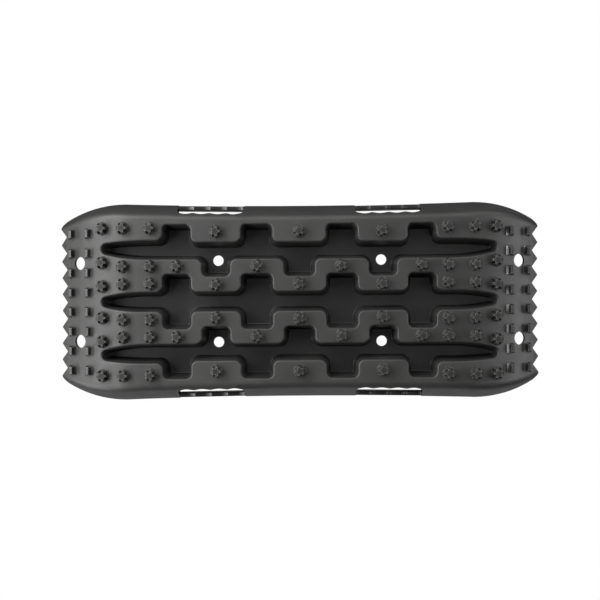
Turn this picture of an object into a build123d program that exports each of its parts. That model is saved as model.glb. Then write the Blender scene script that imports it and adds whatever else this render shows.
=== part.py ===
from build123d import *

import os
from math import cos, radians, sqrt, tan

# Traction board: a drafted, corrugated plastic shell with cleats and finger grips set into it.
# +Z is up and the ground is Z = 0.  X runs along the board and Y across it, and the origin is on
# the ground below the board's middle.  Apart from one mould mark, both halves are mirror images.
# Millimetres and degrees.

# Outline on the ground
HALF_LENGTH = 320.0
WAIST_HALF = 127.7
HIP_X = 234.0
HIP_HALF = 131.3
CORNER_R = 145.0
TEETH = 10
TOOTH_PITCH = 21.8
TOOTH_DEPTH = 8.7
TOOTH_ROUND = 1.2
# How far the middle teeth stand back from the outermost ones
END_HOLLOW = 1.4
# The outermost tooth's arc into the side: back from the end, and out from the tooth's tip
TURN = (1.7, 3.4)
LEAVE = (4.2, 6.2)
LEAVE_RUN = 30.0

# Shell section
DECK_Z = 46.0
WALL = 3.5
SKIRT_DRAFT = 18.0
SHOULDER_R = 10.0
RAMP_X = 211.0
RAMP_R = 162.0
CAVITY_END = 304.0

# Channels
FLOOR_Z = 4.0
CHANNEL_DRAFT = 7.0
BAND_IN = 55.6
BAND_OUT = 77.5
NOTCH_OUT = 101.1
NOTCH_IN = 32.7
MID_BAND = 12.8
MID_NOTCH = 36.1
OUT_NOTCHES = ((34.75, 76.9), (142.1, 179.9))
IN_NOTCHES = ((-20.6, 20.6), (90.7, 128.1))
NOTCH_SIDES = [abs(x) for pair in OUT_NOTCHES + IN_NOTCHES for x in pair]
TONGUE_X = 175.0
TONGUE_BEND = 200.0
MID_TONGUE_BEND = 205.0
TONGUE_TIP = 261.1
TONGUE_OUT = 80.5
TONGUE_LAP = 30.0
NOSE_Y = 69.8
NOSE_R = 8.2
NOTCH_R = 7.4
CREST_R = 8.5
EDGE_R = 2.2
FLOOR_R = 1.4

# Ribs below the ridges, and posts beside the hand slots
RIB = 2.4
RIB_XS = (27.5, 83.6, 134.6, 213.0, 245.0, 270.0)
RIB_FOOT = 3.0
RIB_Y = 98.0
POST = 3.2
POST_FOOT = 1.0

# Round holes
HOLE_R = 7.0
FLOOR_HOLE_X = 109.3
FLOOR_HOLE_Y = 54.6
END_HOLE_R = 8.7
END_HOLE_X = 291.4
END_HOLE_Y = 51.6

# Mould mark: a shallow ring in the middle channel's floor
MARK_X = 56.0
MARK_R = 5.0
MARK_WIDTH = 1.0
MARK_DEPTH = 0.4

# Hand slots and grips
SLOT_X = 118.0
SLOT_LENGTH = 87.6
SLOT_LOBE_Z = 41.5
SLOT_BUMP_Z = 37.0
SLOT_END_Z = 31.0
SLOT_DEPTH_Y = 105.6
BUMP_ROUND = 3.0
LOBES = 4
LOBE_PITCH = SLOT_LENGTH / LOBES
GRIP_THICK = 7.6
GRIP_INSET = 0.8
GRIP_GAP = 0.1
GRIP_Z = 11.0
GRIP_WAVE = 2.4
GRIP_ROUND = 1.4
GRIP_DRAFT = 4.0
PIN_R = 2.4
PIN_LENGTH = 2.6
PIN_Z = 5.6
PIN_IN = 5.6

# Star cleats: distance from the board's middle to each column, and the rows in it
STAR_COLUMNS = {
    "ramp_outer": (259.1, (96.6, 51.7, 20.6)),
    "ramp_inner": (231.2, (96.4, 46.4, 23.3)),
    "crest": (195.2, (96.0, 46.1, 23.7)),
    "deck_outer": (160.6, (46.2,)),
    "deck_middle": (109.1, (91.2, 21.7)),
    "deck_inner": (55.5, (45.9,)),
}
STAR_CENTRE_YS = (91.3, 22.8)
STAR_FOOT_R = 8.9
STAR_TOP_R = 6.0
STAR_HEIGHT = 13.5
STAR_FLARE = 1.0
STAR_ARMS = 5
GROOVE_R = 2.5
GROOVE_AT = 6.7
GROOVE_Z = 1.2
STAR_EDGE = 0.5
STAR_PLUG_R = 4.5
PLUG_DEPTH = 5.5
PLUG_RISE = 1.0
FOOT_DROP = 6.0

# Block cleats on the ramps
BLOCK_COLUMNS = {"outer": 304.0, "inner": 279.6}
BLOCK_YS = (12.7, 38.7, 64.4, 90.3)
BLOCK_Y = 13.3
BLOCK_BACK = 7.0
BLOCK_LEDGE_X = -4.3
BLOCK_LEDGE_RISES = (0.3, 2.1)
BLOCK_CREST = (-1.6, 10.5)
BLOCK_FALL = (1.6, 10.1)
BLOCK_TOE = (3.7, 1.5)
BLOCK_DRAFT = 10.0
BLOCK_EDGE = 0.5
BLOCK_PLUG = (6.0, 7.0)

# How far cutting solids run past what they cut, and how near counts as the same place
CLEAR = 2.0
RUN_ON = 30.0
NEAR = 0.01


def half_width(x):
    """Half the board's width on the ground, x from the middle."""
    x = abs(x)
    if x <= HIP_X:
        return WAIST_HALF + (HIP_HALF - WAIST_HALF) * (x / HIP_X) ** 2
    return HIP_HALF - CORNER_R + sqrt(CORNER_R**2 - (x - HIP_X) ** 2)


def deck_height(x):
    """Height of the deck: flat, then a ramp that curves down to the end."""
    run = max(0.0, abs(x) - RAMP_X)
    return DECK_Z - RAMP_R + sqrt(RAMP_R**2 - run**2)


def ramp_plane(x, y):
    """A plane that lies on the deck at a point and tilts with the ramp there."""
    tilt = max(0.0, abs(x) - RAMP_X) / RAMP_R * (1 if x > 0 else -1)
    return Plane(origin=(x, y, deck_height(x)), z_dir=(tilt, 0, sqrt(1 - tilt**2)))


def both_sides(x, y):
    """The four places at the same distances from the board's middle."""
    return [(side * x, end * y) for side in (-1, 1) for end in (-1, 1)]


def skirt_plan(inset):
    """The board's outline on the ground, run on past the ends, made smaller by inset."""
    far_x = HALF_LENGTH + RUN_ON
    bend_x = (HIP_X + far_x) / 2
    far_y = half_width(far_x)
    bend_y = half_width(bend_x)
    with BuildSketch() as plan:
        with BuildLine():
            for side in (-1, 1):
                ThreePointArc(
                    (-HIP_X, side * HIP_HALF), (0, side * WAIST_HALF), (HIP_X, side * HIP_HALF)
                )
                for end in (-1, 1):
                    ThreePointArc(
                        (end * HIP_X, side * HIP_HALF),
                        (end * bend_x, side * bend_y),
                        (end * far_x, side * far_y),
                    )
            Line((-far_x, -far_y), (-far_x, far_y))
            Line((far_x, -far_y), (far_x, far_y))
        make_face()
        if inset:
            offset(amount=-inset)
    return plan.sketch


def side_profile(end_x, inset):
    """The board seen from the side: a flat deck with a ramp curving down at each end."""
    run = end_x - RAMP_X
    ramp_r = RAMP_R - inset
    centre_z = DECK_Z - RAMP_R
    end_z = centre_z + sqrt(ramp_r**2 - run**2)
    half_z = centre_z + sqrt(ramp_r**2 - (run / 2) ** 2)
    with BuildSketch(Plane.XZ) as profile:
        with BuildLine():
            Line((-RAMP_X, DECK_Z - inset), (RAMP_X, DECK_Z - inset))
            for end in (-1, 1):
                ThreePointArc(
                    (end * RAMP_X, DECK_Z - inset),
                    (end * (RAMP_X + run / 2), half_z),
                    (end * end_x, end_z),
                )
            Polyline((-end_x, end_z), (-end_x, -CLEAR), (end_x, -CLEAR), (end_x, end_z))
        make_face()
    return profile.sketch


def is_shoulder(edge, end_x):
    """True for an edge between the deck or a ramp and the skirt."""
    middle = edge @ 0.5
    skirt_y = half_width(middle.X) - DECK_Z * tan(radians(SKIRT_DRAFT)) - WALL - CLEAR
    runs_along = abs((edge @ 0).X - (edge @ 1).X) > end_x / 8
    return middle.Z > CLEAR and abs(middle.Y) > skirt_y and runs_along


def board_body(end_x, inset, ends):
    """The closed body of the board: drafted skirt, deck, ramps and rounded shoulders."""
    foot_inset = inset / cos(radians(SKIRT_DRAFT))
    with BuildPart() as body:
        extrude(skirt_plan(foot_inset), amount=DECK_Z + CLEAR, taper=SKIRT_DRAFT)
        extrude(side_profile(end_x, inset), amount=HIP_HALF, both=True, mode=Mode.INTERSECT)
        if ends:
            extrude(ends, amount=DECK_Z + CLEAR, mode=Mode.INTERSECT)
        shoulders = [e for e in body.edges() if is_shoulder(e, end_x)]
        fillet(shoulders, radius=SHOULDER_R - inset)
    return body.part


def serrated_outline():
    """The board's plan cut to its toothed ends, with the outermost tooth rounded into the side."""
    side_y = (TEETH - 1) * TOOTH_PITCH / 2
    zigzag = []
    for i in range(2 * TEETH - 1):
        y = i * TOOTH_PITCH / 2 - side_y
        tip_x = HALF_LENGTH - END_HOLLOW * (1 - (y / side_y) ** 2)
        zigzag.append((tip_x - TOOTH_DEPTH if i % 2 else tip_x, y))
    turn = (HALF_LENGTH - TURN[0], side_y + TURN[1])
    leave = (HALF_LENGTH - LEAVE[0], side_y + LEAVE[1])
    far = (HALF_LENGTH - LEAVE_RUN, HIP_HALF + CLEAR)
    with BuildSketch() as plan:
        with BuildLine():
            Polyline(*zigzag)
            ThreePointArc((HALF_LENGTH, side_y), turn, leave)
            ThreePointArc((HALF_LENGTH, -side_y), (turn[0], -turn[1]), (leave[0], -leave[1]))
            Polyline(leave, far, (0, far[1]), (0, -far[1]), (far[0], -far[1]), (leave[0], -leave[1]))
        make_face()
        teeth = [v for v in plan.vertices() if v.X > far[0] + NEAR and abs(v.Y) < side_y - NEAR]
        fillet(teeth, radius=TOOTH_ROUND)
        mirror(about=Plane.YZ)
    return plan.sketch


def nose_meet(bend_x, half):
    """Where a long arc that starts half a width out at bend_x meets the small nose circle."""
    run = TONGUE_TIP - NOSE_R - bend_x
    long_r = (run**2 + half**2 - NOSE_R**2) / (2 * (half - NOSE_R))
    meet_x = TONGUE_TIP - NOSE_R + NOSE_R * run / (long_r - NOSE_R)
    meet_y = NOSE_R * (long_r - half) / (long_r - NOSE_R)
    return meet_x, meet_y


def tongue(bend_x, low_y, nose_y, high_y):
    """The pointed end of a channel: two long arcs that meet a small round nose."""
    low_x, low_out = nose_meet(bend_x, nose_y - low_y)
    high_x, high_out = nose_meet(bend_x, high_y - nose_y)
    low_meet = (low_x, nose_y - low_out)
    high_meet = (high_x, nose_y + high_out)
    root_x = bend_x - TONGUE_LAP
    with BuildSketch() as point:
        with BuildLine():
            Polyline((bend_x, low_y), (root_x, low_y), (root_x, high_y), (bend_x, high_y))
            TangentArc((bend_x, high_y), high_meet, tangent=(1, 0))
            ThreePointArc(high_meet, (TONGUE_TIP, nose_y), low_meet)
            TangentArc((bend_x, low_y), low_meet, tangent=(1, 0))
        make_face()
    return point.sketch


def strip(x_range, y_range):
    """A rectangle between two x and two y values."""
    middle = Pos((x_range[0] + x_range[1]) / 2, (y_range[0] + y_range[1]) / 2)
    size = (x_range[1] - x_range[0], y_range[1] - y_range[0])
    return middle * Rectangle(*size, mode=Mode.PRIVATE)


def corners_at(outline, ys):
    """The outline's corners where a notch's side meets one of the given |y|."""
    return [
        v
        for v in outline.vertices()
        if min(abs(abs(v.Y) - y) for y in ys) < NEAR
        and min(abs(abs(v.X) - x) for x in NOTCH_SIDES) < NEAR
    ]


def outer_channel(level, grow):
    """The zig-zag outline of the channel beside a long side, on the plane at the given height."""
    point = tongue(TONGUE_BEND, BAND_IN, NOSE_Y, TONGUE_OUT)
    with BuildSketch(Plane.XY.offset(level)) as outline:
        add(strip((-TONGUE_X, TONGUE_X), (BAND_IN, BAND_OUT)))
        for near, far in OUT_NOTCHES:
            add(strip((near, far), (BAND_IN, NOTCH_OUT)))
            add(strip((-far, -near), (BAND_IN, NOTCH_OUT)))
        for near, far in IN_NOTCHES:
            add(strip((near, far), (NOTCH_IN, BAND_OUT)))
            add(strip((-far, -near), (NOTCH_IN, BAND_OUT)))
        add(point)
        add(mirror(point, about=Plane.YZ, mode=Mode.PRIVATE))
        fillet(corners_at(outline, (NOTCH_OUT, NOTCH_IN)), radius=NOTCH_R)
        fillet(corners_at(outline, (BAND_IN, BAND_OUT, TONGUE_OUT)), radius=CREST_R)
        offset(amount=grow)
    return outline.sketch


def middle_channel(level, grow):
    """The outline of the channel along the board's middle."""
    point = tongue(MID_TONGUE_BEND, -MID_BAND, 0, MID_BAND)
    with BuildSketch(Plane.XY.offset(level)) as outline:
        add(strip((-TONGUE_X, TONGUE_X), (-MID_BAND, MID_BAND)))
        for near, far in OUT_NOTCHES:
            add(strip((near, far), (-MID_NOTCH, MID_NOTCH)))
            add(strip((-far, -near), (-MID_NOTCH, MID_NOTCH)))
        add(point)
        add(mirror(point, about=Plane.YZ, mode=Mode.PRIVATE))
        fillet(corners_at(outline, (MID_NOTCH,)), radius=NOTCH_R)
        fillet(corners_at(outline, (MID_BAND,)), radius=CREST_R)
        offset(amount=grow)
    return outline.sketch


def channels(grow, bottom, floor_r):
    """The three channels as closed tapered solids, from just above the deck down to bottom."""
    top = DECK_Z + CLEAR
    spread = grow + CLEAR * tan(radians(CHANNEL_DRAFT))
    with BuildPart() as cut:
        extrude(outer_channel(top, spread), amount=bottom - top, taper=CHANNEL_DRAFT)
        mirror(about=Plane.XZ)
        extrude(middle_channel(top, spread), amount=bottom - top, taper=CHANNEL_DRAFT)
        if floor_r:
            fillet(cut.faces().filter_by_position(Axis.Z, bottom, bottom).edges(), radius=floor_r)
    return cut.part


def is_channel_edge(edge):
    """True for an edge where a channel wall meets the deck or a ramp."""
    start, middle, end = (edge @ t for t in (0, 0.5, 1))
    on_deck = all(abs(p.Z - deck_height(p.X)) < NEAR for p in (start, middle, end))
    inside = abs(middle.Y) < NOTCH_OUT + CLEAR and abs(middle.X) < TONGUE_TIP + CLEAR
    crosses = all(abs(abs(p.X) - RAMP_X) < NEAR for p in (start, end))
    return on_deck and inside and not crosses


def slot_outline():
    """A hand slot seen from the side: open below, with a lobe for each finger above."""
    end = SLOT_LENGTH / 2
    bumps = [(i * LOBE_PITCH - end, SLOT_BUMP_Z) for i in range(1, LOBES)]
    start = (-end, SLOT_END_Z)
    stop = (end, SLOT_END_Z)
    corners = [start] + bumps + [stop]
    with BuildSketch(Plane.XZ) as opening:
        with BuildLine():
            Polyline(start, (-end, -CLEAR), (end, -CLEAR), stop)
            for left, right in zip(corners, corners[1:]):
                ThreePointArc(left, ((left[0] + right[0]) / 2, SLOT_LOBE_Z), right)
        make_face()
        fillet([v for v in opening.vertices() if abs(v.Y - SLOT_BUMP_Z) < NEAR], radius=BUMP_ROUND)
    return opening.sketch


def hand_slots():
    """The four hand slots as closed solids that cut through the skirt."""
    reach = HIP_HALF + CLEAR - SLOT_DEPTH_Y
    with BuildPart() as cut:
        with Locations((SLOT_X, SLOT_DEPTH_Y + reach, 0)):
            add(extrude(slot_outline(), amount=reach, mode=Mode.PRIVATE))
        mirror(about=Plane.YZ)
        mirror(about=Plane.XZ)
    return cut.part


def pin():
    """The round pin that runs through the grip of the back right slot and out at both its ends."""
    place = Pos(SLOT_X, half_width(SLOT_X) - PIN_IN, PIN_Z)
    length = SLOT_LENGTH + 2 * (PIN_LENGTH - GRIP_GAP)
    return place * Cylinder(PIN_R, length, rotation=(0, 90, 0), mode=Mode.PRIVATE)


def ribs():
    """Cross ribs below the ridges, with a post at each end of each hand slot."""
    post_xs = [SLOT_X + side * (SLOT_LENGTH + POST) / 2 for side in (-1, 1)]
    on_foot = (Align.CENTER, Align.CENTER, Align.MIN)
    with BuildPart() as plates:
        with Locations([(side * x, 0, RIB_FOOT) for x in RIB_XS for side in (-1, 1)]):
            Box(RIB, 2 * RIB_Y, DECK_Z, align=on_foot)
        with Locations([(side * x, 0, POST_FOOT) for x in post_xs for side in (-1, 1)]):
            Box(POST, 2 * HIP_HALF, DECK_Z, align=on_foot)
    return plates.part


def mirrored(x, ys):
    """The points of one column on the deck: every y on both sides of the middle."""
    return [(x, side * y, deck_height(x)) for y in ys for side in (-1, 1)]


def star_places():
    """Each star column's name, its side (-1 left, 1 right) and the points in it."""
    yield "star_cleats_centre", 1, mirrored(0.0, STAR_CENTRE_YS)
    for name, (x, ys) in STAR_COLUMNS.items():
        yield f"star_cleats_left_{name}", -1, mirrored(-x, ys)
        yield f"star_cleats_right_{name}", 1, mirrored(x, ys)


def block_places():
    """Each block column's name, its side and the points in it."""
    for name, x in BLOCK_COLUMNS.items():
        yield f"block_cleats_left_{name}", -1, mirrored(-x, BLOCK_YS)
        yield f"block_cleats_right_{name}", 1, mirrored(x, BLOCK_YS)


def star_cleat():
    """One star cleat on Z = 0: a cone with five grooves down its flank, one arm towards +X."""
    flare_r = STAR_FOOT_R - (STAR_FOOT_R - STAR_TOP_R) / STAR_HEIGHT
    with BuildPart() as stud:
        with BuildSketch(Plane.XZ):
            with BuildLine():
                Polyline(
                    (0, STAR_HEIGHT),
                    (STAR_TOP_R, STAR_HEIGHT),
                    (flare_r, STAR_FLARE),
                    (STAR_FOOT_R, 0),
                    (STAR_FOOT_R, -FOOT_DROP),
                    (0, -FOOT_DROP),
                    close=True,
                )
            make_face()
        revolve(axis=Axis.Z)
        with BuildSketch(Plane.XY.offset(GROOVE_Z)):
            with PolarLocations(GROOVE_AT, STAR_ARMS, start_angle=180 / STAR_ARMS):
                Circle(GROOVE_R)
        extrude(amount=STAR_HEIGHT, mode=Mode.SUBTRACT)
        top = stud.faces().filter_by(Axis.Z).sort_by(Axis.Z)[-1]
        fillet(top.edges(), radius=STAR_EDGE)
    return stud.part


def block_cleat(x):
    """One block cleat for the right ramp at x: a ledge, a riser, a flat crest and a steep fall."""
    ledge_z = deck_height(x - BLOCK_BACK) - deck_height(x)
    blank_x = 2 * (BLOCK_BACK + CLEAR)
    with BuildPart() as block:
        with BuildSketch(Plane.XY.offset(-FOOT_DROP)):
            Rectangle(blank_x, BLOCK_Y)
        extrude(amount=FOOT_DROP)
        with BuildSketch():
            Rectangle(blank_x, BLOCK_Y)
        extrude(amount=BLOCK_CREST[1], taper=BLOCK_DRAFT)
        with BuildSketch(Plane.XZ):
            with BuildLine():
                Polyline(
                    (-BLOCK_BACK, -FOOT_DROP),
                    (-BLOCK_BACK, ledge_z + BLOCK_LEDGE_RISES[0]),
                    (BLOCK_LEDGE_X, ledge_z + BLOCK_LEDGE_RISES[1]),
                    BLOCK_CREST,
                    BLOCK_FALL,
                    BLOCK_TOE,
                    (BLOCK_TOE[0], -FOOT_DROP),
                    close=True,
                )
            make_face()
        extrude(amount=BLOCK_Y, both=True, mode=Mode.INTERSECT)
        crest = [e for e in block.edges() if e.center().Z > BLOCK_FALL[1] - NEAR]
        fillet(crest, radius=BLOCK_EDGE)
    return block.part


def plugs(points, outline):
    """The plugs below one column of cleats, square to the deck and longer than it is thick."""
    solids = []
    for x, y, _ in points:
        seat = ramp_plane(x, y)
        foot = seat.offset(-PLUG_DEPTH) * outline
        solids.append(extrude(foot, amount=PLUG_DEPTH + PLUG_RISE, dir=seat.z_dir))
    return solids


def cleat_column(points, cleat, outline, turn):
    """One column of cleats, each trimmed to the deck's surface and joined to its plug."""
    column_plugs = plugs(points, outline)
    with BuildPart() as column:
        with Locations([Location(point, (0, 0, turn)) for point in points]):
            add(cleat)
        add(skin.part, mode=Mode.SUBTRACT)
        add(column_plugs)
    return column.part


def grip_outline():
    """A finger grip seen from the side: flat below, with a hollow for each finger above."""
    end = SLOT_LENGTH / 2 - GRIP_GAP
    crests = [-end] + [i * LOBE_PITCH - SLOT_LENGTH / 2 for i in range(1, LOBES)] + [end]
    crest_z = GRIP_Z + GRIP_WAVE
    with BuildSketch(Plane.XZ) as side:
        with BuildLine():
            Polyline((-end, crest_z), (-end, 0), (end, 0), (end, crest_z))
            for left, right in zip(crests, crests[1:]):
                ThreePointArc((left, crest_z), ((left + right) / 2, GRIP_Z), (right, crest_z))
        make_face()
        between = [v for v in side.vertices() if abs(v.X) < end - NEAR and v.Y > GRIP_Z]
        fillet(between, radius=BUMP_ROUND)
    return side.sketch


def is_grip_top(edge):
    """True for an edge along the top of a grip, not one that runs across its thickness."""
    return edge.center().Z > GRIP_Z - GRIP_ROUND and abs((edge % 0.5).Y) < 0.5


def grip():
    """The finger grip of the back right slot, with a pin at each end."""
    near_x = SLOT_X - SLOT_LENGTH / 2
    far_x = SLOT_X + SLOT_LENGTH / 2
    near_y = half_width(near_x) - GRIP_INSET
    far_y = half_width(far_x) - GRIP_INSET
    with BuildPart() as bar:
        with BuildSketch():
            with BuildLine():
                Polyline(
                    (near_x, near_y - GRIP_THICK),
                    (far_x, far_y - GRIP_THICK),
                    (far_x, far_y),
                    (near_x, near_y),
                    close=True,
                )
            make_face()
        extrude(amount=2 * GRIP_Z, taper=GRIP_DRAFT)
        with Locations((SLOT_X, 0, 0)):
            add(extrude(grip_outline(), amount=-2 * HIP_HALF, mode=Mode.PRIVATE), mode=Mode.INTERSECT)
        fillet([e for e in bar.edges() if is_grip_top(e)], radius=GRIP_ROUND)
        add(pin())
    return bar.part


# The deck's outside: body, toothed ends, channels and their rounded edges
with BuildPart() as skin:
    add(board_body(HALF_LENGTH + CLEAR, 0, serrated_outline()))
    add(channels(0, FLOOR_Z, FLOOR_R), mode=Mode.SUBTRACT)
    fillet([e for e in skin.edges() if is_channel_edge(e)], radius=EDGE_R)

# The hollow below the deck, less the channel walls, ribs and posts
with BuildPart() as hollow:
    add(board_body(CAVITY_END, WALL, None))
    add(channels(WALL / cos(radians(CHANNEL_DRAFT)), -CLEAR, 0), mode=Mode.SUBTRACT)
    add(ribs(), mode=Mode.SUBTRACT)

# Plug holes below the cleats, pin holes at the ends of the grips, and the mould mark
star_plug = Circle(STAR_PLUG_R)
block_plug = Rectangle(*BLOCK_PLUG)
star_holes = [hole for _, _, points in star_places() for hole in plugs(points, star_plug)]
block_holes = [hole for _, _, points in block_places() for hole in plugs(points, block_plug)]
with BuildPart() as pin_holes:
    add(pin())
    mirror(about=Plane.YZ)
    mirror(about=Plane.XZ)

with BuildPart() as mould_mark:
    with BuildSketch(Plane.XY.offset(FLOOR_Z - MARK_DEPTH)):
        with Locations((MARK_X, 0)):
            Circle(MARK_R + MARK_WIDTH / 2)
            Circle(MARK_R - MARK_WIDTH / 2, mode=Mode.SUBTRACT)
    extrude(amount=MARK_DEPTH + CLEAR)

# The deck: the shell with its round holes, plug holes, hand slots, pin holes and mould mark
with BuildPart() as deck:
    add(skin.part)
    add(hollow.part, mode=Mode.SUBTRACT)
    with Locations([(x, y, 0) for x, y in both_sides(FLOOR_HOLE_X, FLOOR_HOLE_Y)]):
        Cylinder(HOLE_R, DECK_Z, mode=Mode.SUBTRACT)
    with Locations([ramp_plane(x, y) for x, y in both_sides(END_HOLE_X, END_HOLE_Y)]):
        Cylinder(END_HOLE_R, DECK_Z, mode=Mode.SUBTRACT)
    add(star_holes + block_holes, mode=Mode.SUBTRACT)
    add(hand_slots(), mode=Mode.SUBTRACT)
    add(pin_holes.part, mode=Mode.SUBTRACT)
    add(mould_mark.part, mode=Mode.SUBTRACT)

# The cleats: left stars have an arm towards the middle of the board, and blocks fall to its ends
pieces = {"deck": deck.part}
for name, side, points in star_places():
    pieces[name] = cleat_column(points, star_cleat(), star_plug, 0 if side < 0 else 180)
for name, side, points in block_places():
    cleat = block_cleat(abs(points[0][0]))
    pieces[name] = cleat_column(points, cleat, block_plug, 0 if side > 0 else 180)

# The grips
pieces["grip_back_right"] = grip()
pieces["grip_back_left"] = mirror(pieces["grip_back_right"], about=Plane.YZ)
pieces["grip_front_right"] = mirror(pieces["grip_back_right"], about=Plane.XZ)
pieces["grip_front_left"] = pieces["grip_back_right"].rotate(Axis.Z, 180)

os.makedirs("parts", exist_ok=True)
for name, piece in pieces.items():
    piece.label = name
    export_step(piece, f"parts/{name}.step")
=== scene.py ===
from math import cos, radians, sin

import bpy
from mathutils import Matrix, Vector

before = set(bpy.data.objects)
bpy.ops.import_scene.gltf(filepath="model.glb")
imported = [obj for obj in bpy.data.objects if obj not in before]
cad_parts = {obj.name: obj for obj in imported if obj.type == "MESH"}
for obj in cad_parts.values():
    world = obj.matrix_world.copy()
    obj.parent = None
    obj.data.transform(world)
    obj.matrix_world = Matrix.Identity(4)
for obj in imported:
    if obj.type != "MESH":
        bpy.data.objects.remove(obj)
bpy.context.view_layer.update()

# Camera: looks straight down from a little right of the board's middle, with its lens shifted
# back over the middle, and turned so that the board's right end sits a little higher
CAMERA_PLACE = (0.027, 0.0045, 1.6)
CAMERA_LENS = 71.3
CAMERA_SHIFT = (-0.0335, -0.0046)
CAMERA_TURN = -0.42

# Soft lights around the board: name, azimuth from +X, elevation, distance, size and watts
LIGHTS = (
    ("left_8", 180, 8, 1.7, (0.9, 0.45), 3.4),
    ("left_10", 180, 10, 1.0, (0.6, 0.3), 0.5),
    ("left_38", 180, 38, 1.0, (0.6, 0.3), 3.9),
    ("left_52", 180, 52, 1.0, (0.6, 0.3), 1.6),
    ("left_back_38", 150, 38, 1.0, (0.5, 0.3), 4.5),
    ("left_front_15", 210, 15, 1.0, (0.5, 0.3), 4.3),
    ("left_front_38", 210, 38, 1.0, (0.5, 0.3), 1.5),
    ("back_left_38", 135, 38, 1.8, (0.8, 0.7), 12.9),
    ("back_46", 90, 46, 1.7, (1.4, 0.5), 8.9),
    ("back_64", 90, 64, 1.7, (1.4, 0.5), 2.5),
    ("back_right_38", 45, 38, 1.8, (0.8, 0.7), 2.3),
    ("back_right_15", 45, 15, 1.8, (0.8, 0.5), 4.2),
    ("right_12", 0, 12, 1.0, (0.6, 0.3), 1.8),
    ("right_22", 0, 22, 1.7, (0.9, 0.45), 3.4),
    ("right_35", 0, 35, 1.0, (0.6, 0.3), 1.7),
    ("right_64", 0, 64, 1.7, (0.9, 0.45), 0.7),
    ("right_75", 0, 75, 2.0, (0.6, 0.4), 0.6),
    ("top", 0, 89.9, 2.0, (0.5, 0.5), 0.6),
)
# Light from the ground all round, and more of it from the ground in front
GROUND_LEVEL = 0.18
FRONT_LEVEL = 0.4

# Heights in metres between which the look of the channel floors turns into the deck's
FLOOR_TOP = 0.008
DECK_TOP = 0.040
# How much smoother the floors are than the deck, and their share of its grey: painted shade that darkens
# the channel floors
FLOOR_GLOSS = 0.10
FLOOR_SHADE_SHARE = 0.5

# Outward edges with a painted highlight: its width in metres, and how much smoother than the rest these
# edges are
EDGE_REACH = 0.0016
EDGE_GLOSS = 0.06
# What the ambient occlusion node reads from inside the plastic, on a flat face and on an edge
FLAT_FACE_AO = 0.95
SHARP_EDGE_AO = 0.65
EDGE_SAMPLES = 4

# Patterns in the plastic: noise with so many waves per metre and levels of finer detail, of which
# the range low..high is used, squeezed along the axes where the pattern has a direction
TONE_PATCHES = dict(scale=16, detail=5, low=0.35, high=0.7)
GLOSS_PATCHES = dict(scale=40, detail=6, low=0.3, high=0.7)
HIGHLIGHT_PATCHES = dict(scale=90, detail=3, low=0.3, high=0.6)
SCRATCHES_ALONG = dict(scale=60, detail=6, low=0.62, high=0.74, squeeze=(1, 14, 14))
SCRATCHES_ACROSS = dict(scale=70, detail=6, low=0.64, high=0.76, squeeze=(16, 1, 16))
GRAIN_DETAIL = 2
# From the least to the most: share of the grey, strength of the painted highlight on an edge, and change
# of the roughness
TONE_SHARES = (0.85, 1.15)
HIGHLIGHT_SHARES = (0.4, 1)
GLOSS_CHANGES = (-0.04, 0.05)
# How far a scratch lightens the plastic, as a share of the painted highlight on an edge
SCRATCH_TONE = 0.25
# The plastic's blue as a share of its red and green
BLUE_SHARE = 0.97


class Shading:
    """Short ways to add and join the nodes of a material or of the surroundings."""

    def __init__(self, owner):
        owner.use_nodes = True
        self.nodes = owner.node_tree.nodes
        self.links = owner.node_tree.links

    def add(self, kind, **settings):
        """Adds a node and sets its properties."""
        node = self.nodes.new(kind)
        for key, value in settings.items():
            setattr(node, key, value)
        return node

    def feed(self, node, name, value):
        """Gives an input a fixed value or joins it to another node's output."""
        if isinstance(value, bpy.types.NodeSocket):
            self.links.new(value, node.inputs[name])
        else:
            node.inputs[name].default_value = value

    def place(self, squeeze=(1, 1, 1)):
        """The place on the board in metres, times a factor for each axis."""
        node = self.add("ShaderNodeMapping")
        self.feed(node, "Vector", self.add("ShaderNodeTexCoord").outputs["Object"])
        self.feed(node, "Scale", squeeze)
        return node.outputs["Vector"]

    def noise(self, scale, detail, squeeze=(1, 1, 1)):
        """Noise from 0 to 1 with about so many waves per metre."""
        node = self.add("ShaderNodeTexNoise")
        self.feed(node, "Vector", self.place(squeeze))
        self.feed(node, "Scale", scale)
        self.feed(node, "Detail", detail)
        return node.outputs["Fac"]

    def spread(self, value, low, high, low_out, high_out):
        """Maps a value's range low..high onto low_out..high_out."""
        node = self.add("ShaderNodeMapRange")
        self.feed(node, "Value", value)
        for name, number in zip(("From Min", "From Max"), (low, high)):
            self.feed(node, name, number)
        for name, number in zip(("To Min", "To Max"), (low_out, high_out)):
            self.feed(node, name, number)
        return node.outputs["Result"]

    def pattern(self, scale, detail, low, high, squeeze=(1, 1, 1)):
        """Noise whose range low..high is spread over 0..1."""
        return self.spread(self.noise(scale, detail, squeeze), low, high, 0, 1)

    def maths(self, operation, first, second):
        """One calculation with two values."""
        node = self.add("ShaderNodeMath", operation=operation)
        self.feed(node, 0, first)
        self.feed(node, 1, second)
        return node.outputs["Value"]

    def height(self):
        """The height above the ground in metres."""
        node = self.add("ShaderNodeSeparateXYZ")
        self.feed(node, "Vector", self.place())
        return node.outputs["Z"]

    def edges(self, reach):
        """1 on outward edges and 0 further than the given reach from them."""
        node = self.add("ShaderNodeAmbientOcclusion", inside=True, only_local=True, samples=EDGE_SAMPLES)
        self.feed(node, "Distance", reach)
        return self.spread(node.outputs["AO"], FLAT_FACE_AO, SHARP_EDGE_AO, 0, 1)


def highlit_edges(look):
    """Outward edges that get a painted highlight, stronger in some places than in others."""
    highlight_strength = look.spread(look.pattern(**HIGHLIGHT_PATCHES), 0, 1, *HIGHLIGHT_SHARES)
    return look.maths("MULTIPLY", look.edges(EDGE_REACH), highlight_strength)


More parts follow.
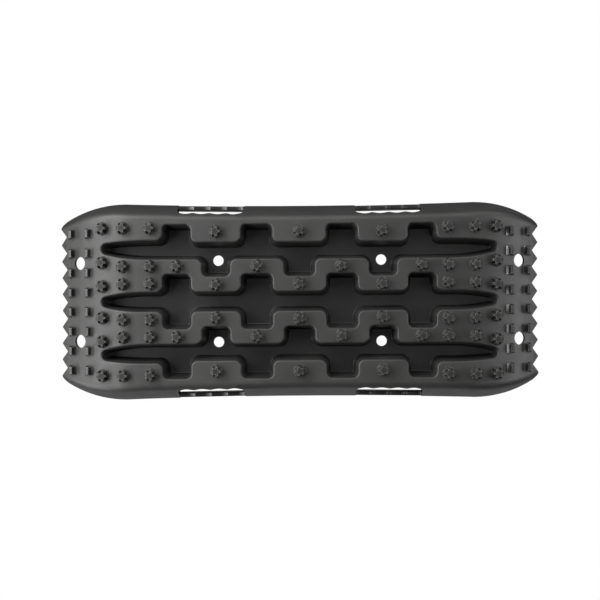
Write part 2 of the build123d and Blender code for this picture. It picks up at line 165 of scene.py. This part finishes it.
def fine_scratches(look, raised):
    """Fine scratches along and across the board, none of them on the channel floors."""
    along = look.pattern(**SCRATCHES_ALONG)
    across = look.pattern(**SCRATCHES_ACROSS)
    return look.maths("MULTIPLY", look.maths("MAXIMUM", along, across), raised)


def plastic(name, grey, roughness, grain, grain_height, highlight_and_scratch_grey):
    """Moulded black plastic: fine grain, cloudy gloss, fine scratches, a painted highlight on outward
    edges and painted shade on the channel floors.
    """
    material = bpy.data.materials.new(name)
    look = Shading(material)
    shader = look.nodes["Principled BSDF"]
    raised = look.spread(look.height(), FLOOR_TOP, DECK_TOP, 0, 1)
    highlit = highlit_edges(look)
    scratches = fine_scratches(look, raised)

    patches = look.pattern(**TONE_PATCHES)
    tone = look.maths("MULTIPLY", look.spread(patches, 0, 1, *TONE_SHARES), grey)
    # Painted shade: the channel floors keep only a share of the deck's grey
    tone = look.maths("MULTIPLY", look.spread(raised, 0, 1, FLOOR_SHADE_SHARE, 1), tone)
    tone = look.maths("ADD", tone, look.maths("MULTIPLY", scratches, SCRATCH_TONE * highlight_and_scratch_grey))
    # Painted highlight: a lighter grey along the outward edges
    tone = look.maths("ADD", tone, look.maths("MULTIPLY", highlit, highlight_and_scratch_grey))
    colour = look.add("ShaderNodeCombineColor")
    look.feed(colour, "Red", tone)
    look.feed(colour, "Green", tone)
    look.feed(colour, "Blue", look.maths("MULTIPLY", tone, BLUE_SHARE))
    look.feed(shader, "Base Color", colour.outputs["Color"])

    changes = look.spread(look.pattern(**GLOSS_PATCHES), 0, 1, *GLOSS_CHANGES)
    gloss = look.maths("ADD", changes, roughness)
    gloss = look.maths("SUBTRACT", gloss, look.maths("MULTIPLY", highlit, EDGE_GLOSS))
    gloss = look.maths("SUBTRACT", gloss, look.spread(raised, 0, 1, FLOOR_GLOSS, 0))
    look.feed(shader, "Roughness", gloss)

    bump = look.add("ShaderNodeBump")
    look.feed(bump, "Distance", grain_height)
    look.feed(bump, "Height", look.noise(grain, GRAIN_DETAIL))
    look.feed(shader, "Normal", bump.outputs["Normal"])
    return material


def paint(node, material):
    """Gives a CAD node one material in every slot."""
    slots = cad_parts[node].data.materials
    slots.clear()
    slots.append(material)


def make_lights():
    """Soft lights on every side of the board, all facing its middle and most of them on its left."""
    for name, azimuth, elevation, distance, size, watts in LIGHTS:
        data = bpy.data.lights.new(name, "AREA")
        data.shape = "RECTANGLE"
        data.size, data.size_y = size
        data.energy = watts
        light = bpy.data.objects.new(name, data)
        bpy.context.scene.collection.objects.link(light)
        a, e = radians(azimuth), radians(elevation)
        light.location = Vector((cos(a) * cos(e), sin(a) * cos(e), sin(e))) * distance
        light.rotation_mode = "QUATERNION"
        light.rotation_quaternion = (-light.location).to_track_quat("-Z", "Y")


def make_surround():
    """Plain white for the camera, and a dim glow from the ground, mostly in front, for the board."""
    world = bpy.data.worlds.new("surround")
    look = Shading(world)
    direction = look.add("ShaderNodeSeparateXYZ")
    look.feed(direction, "Vector", look.add("ShaderNodeNewGeometry").outputs["Incoming"])
    below = look.maths("GREATER_THAN", direction.outputs["Z"], 0)
    front = look.maths("MULTIPLY", look.maths("MAXIMUM", direction.outputs["Y"], 0), FRONT_LEVEL)
    ground = look.maths("MULTIPLY", look.maths("ADD", front, GROUND_LEVEL), below)
    seen = look.add("ShaderNodeLightPath").outputs["Is Camera Ray"]
    look.feed(look.nodes["Background"], "Strength", look.maths("MAXIMUM", ground, seen))
    look.feed(look.nodes["Background"], "Color", (1, 1, 1, 1))
    bpy.context.scene.world = world


def make_camera():
    """The camera that looks down on the board."""
    data = bpy.data.cameras.new("camera")
    data.lens = CAMERA_LENS
    data.shift_x, data.shift_y = CAMERA_SHIFT
    camera = bpy.data.objects.new("camera", data)
    camera.location = CAMERA_PLACE
    camera.rotation_euler = (0, 0, radians(CAMERA_TURN))
    bpy.context.scene.collection.objects.link(camera)
    bpy.context.scene.camera = camera
    bpy.context.scene.view_settings.view_transform = "Standard"


deck_plastic = plastic(
    "deck_plastic", grey=0.025, roughness=0.50, grain=1200, grain_height=0.00008, highlight_and_scratch_grey=0.012
)
cleat_plastic = plastic(
    "cleat_plastic", grey=0.014, roughness=0.34, grain=2400, grain_height=0.00003, highlight_and_scratch_grey=0.08
)
grip_plastic = plastic(
    "grip_plastic", grey=0.013, roughness=0.42, grain=3500, grain_height=0.00002, highlight_and_scratch_grey=0.012
)
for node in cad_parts:
    if "cleats" in node:
        paint(node, cleat_plastic)
    elif "grip" in node:
        paint(node, grip_plastic)
    else:
        paint(node, deck_plastic)

make_lights()
make_surround()
make_camera()
